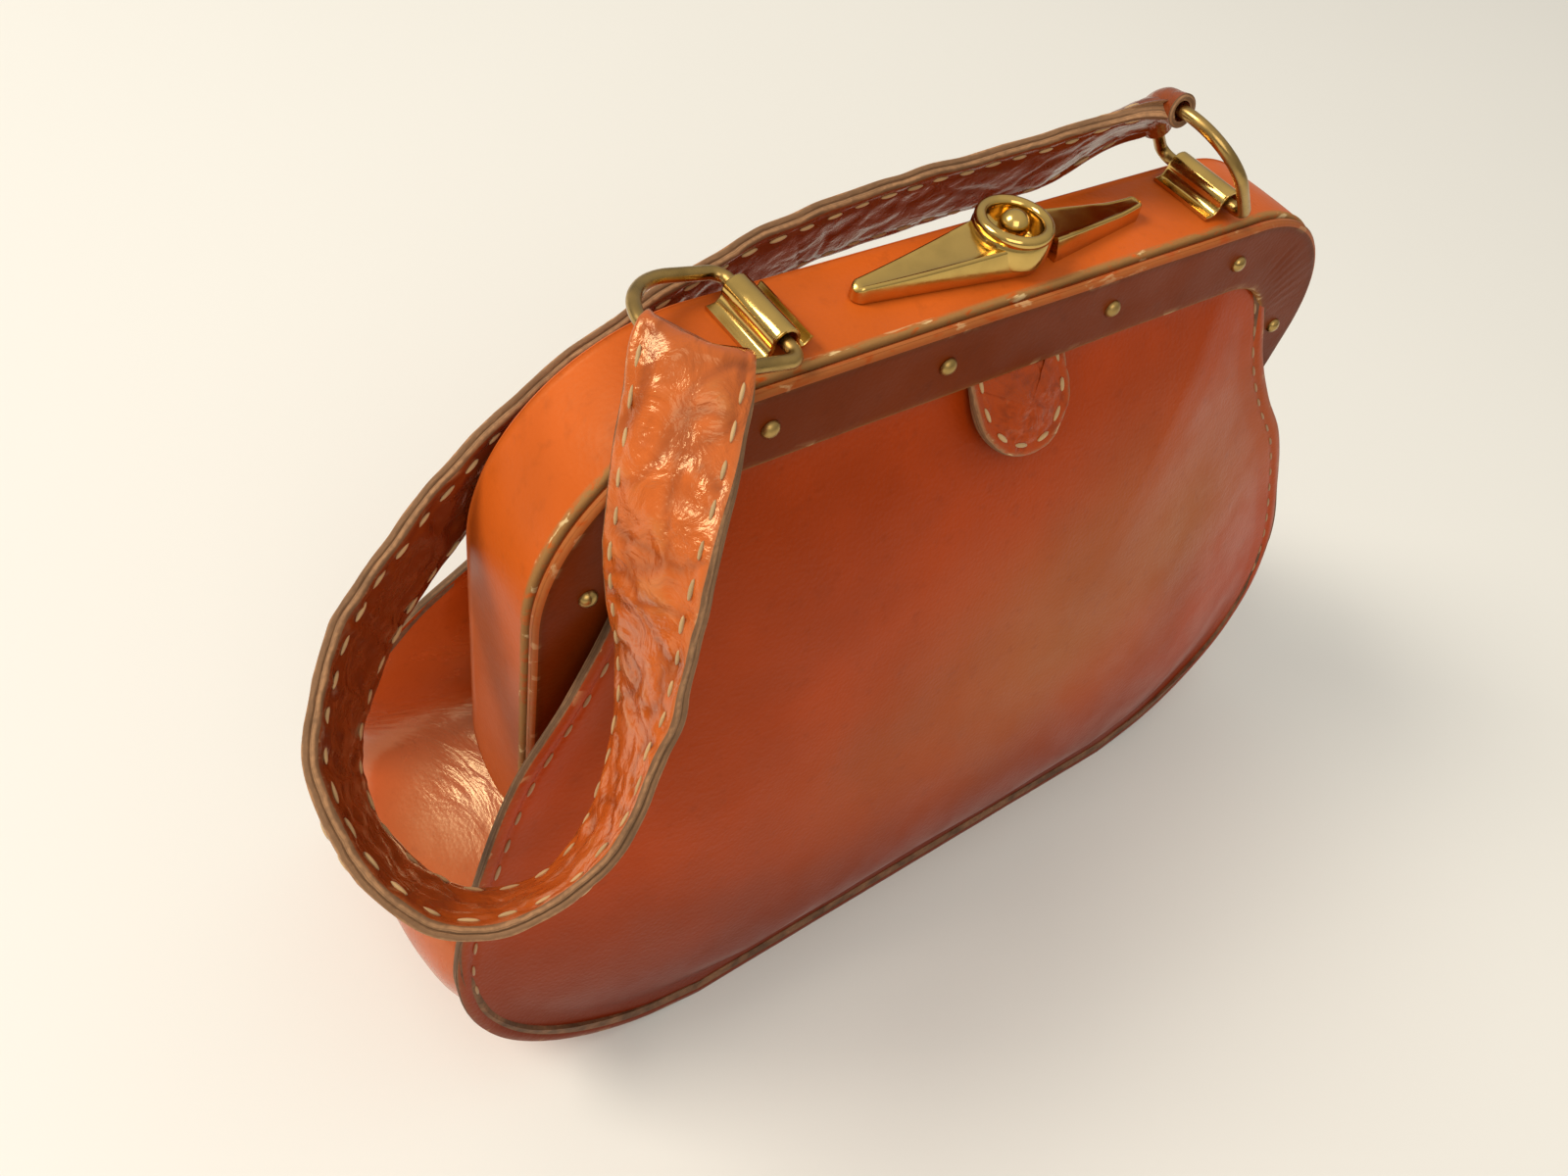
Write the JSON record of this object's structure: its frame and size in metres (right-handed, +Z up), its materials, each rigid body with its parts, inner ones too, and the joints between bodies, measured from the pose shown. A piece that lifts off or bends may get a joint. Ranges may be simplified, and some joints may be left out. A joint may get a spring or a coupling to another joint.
{
  "type": "leather frame handbag",
  "caption": "Tan leather handbag with a hinged frame that opens at the front, a brass turn clasp on top, dome studs and a short stitched strap on brass rings.",
  "frame": {"origin": "on the floor under the middle of the bag's flat base", "axes": "+Z up, -Y towards the front panel with the pull tab, +X towards the fixed arm of the clasp"},
  "size_m": [0.3029, 0.1115, 0.2132],
  "materials": {
    "frame_leather": "smooth orange-tan leather with worn edges",
    "body_leather": "fine-grained red-brown leather with a soft sheen",
    "gusset_leather": "glossy red-brown leather with fine creases",
    "strap_leather": "glossy crinkled leather with pale stitching and raw edges",
    "clasp_brass": "polished yellow brass, lightly tarnished",
    "aged_brass": "aged brass, darkened",
    "spring_steel": "plain spring steel"
  },
  "bodies": {
    "bag": {"canopy_frame": "frame_leather", "back_studs": "aged_brass", "hinge_pin_left": "spring_steel", "hinge_pin_right": "spring_steel", "front_panel": "body_leather", "back_panel": "body_leather", "gusset": "gusset_leather", "clasp_plate": "clasp_brass", "latch_spring": "spring_steel", "ring_bracket_left": "clasp_brass", "ring_bracket_right": "clasp_brass", "strap": "strap_leather"},
    "front_frame": {"front_frame": "frame_leather", "front_studs": "aged_brass", "pull_tab": "strap_leather", "latch_keeper": "spring_steel"},
    "clasp_lever": {"clasp_lever": "clasp_brass", "clasp_post": "clasp_brass", "latch_cam": "clasp_brass"},
    "ring_left": {"ring_left": "aged_brass"},
    "ring_right": {"ring_right": "aged_brass"}
  },
  "joints": [
    {"name": "front_opening", "type": "hinge", "parent": "bag", "child": "front_frame", "pos_m": [0, 0, 0.077], "axis": [1, 0, 0], "range_deg": [0, 45], "deforming": ["front_panel", "gusset", "strap", "latch_spring"]},
    {"name": "clasp_turn", "type": "hinge", "parent": "bag", "child": "clasp_lever", "pos_m": [0, 0, 0.188], "axis": [0, 0, 1], "range_deg": [0, 60], "deforming": ["latch_spring"]},
    {"name": "left_ring_swing", "type": "hinge", "parent": "bag", "child": "ring_left", "pos_m": [-0.0621, 0, 0.1912], "axis": [0, 1, 0], "range_deg": [-12, 135], "deforming": ["strap"]},
    {"name": "right_ring_swing", "type": "hinge", "parent": "bag", "child": "ring_right", "pos_m": [0.0621, 0, 0.1912], "axis": [0, 1, 0], "range_deg": [-20, 125], "deforming": ["strap"]}
  ]
}
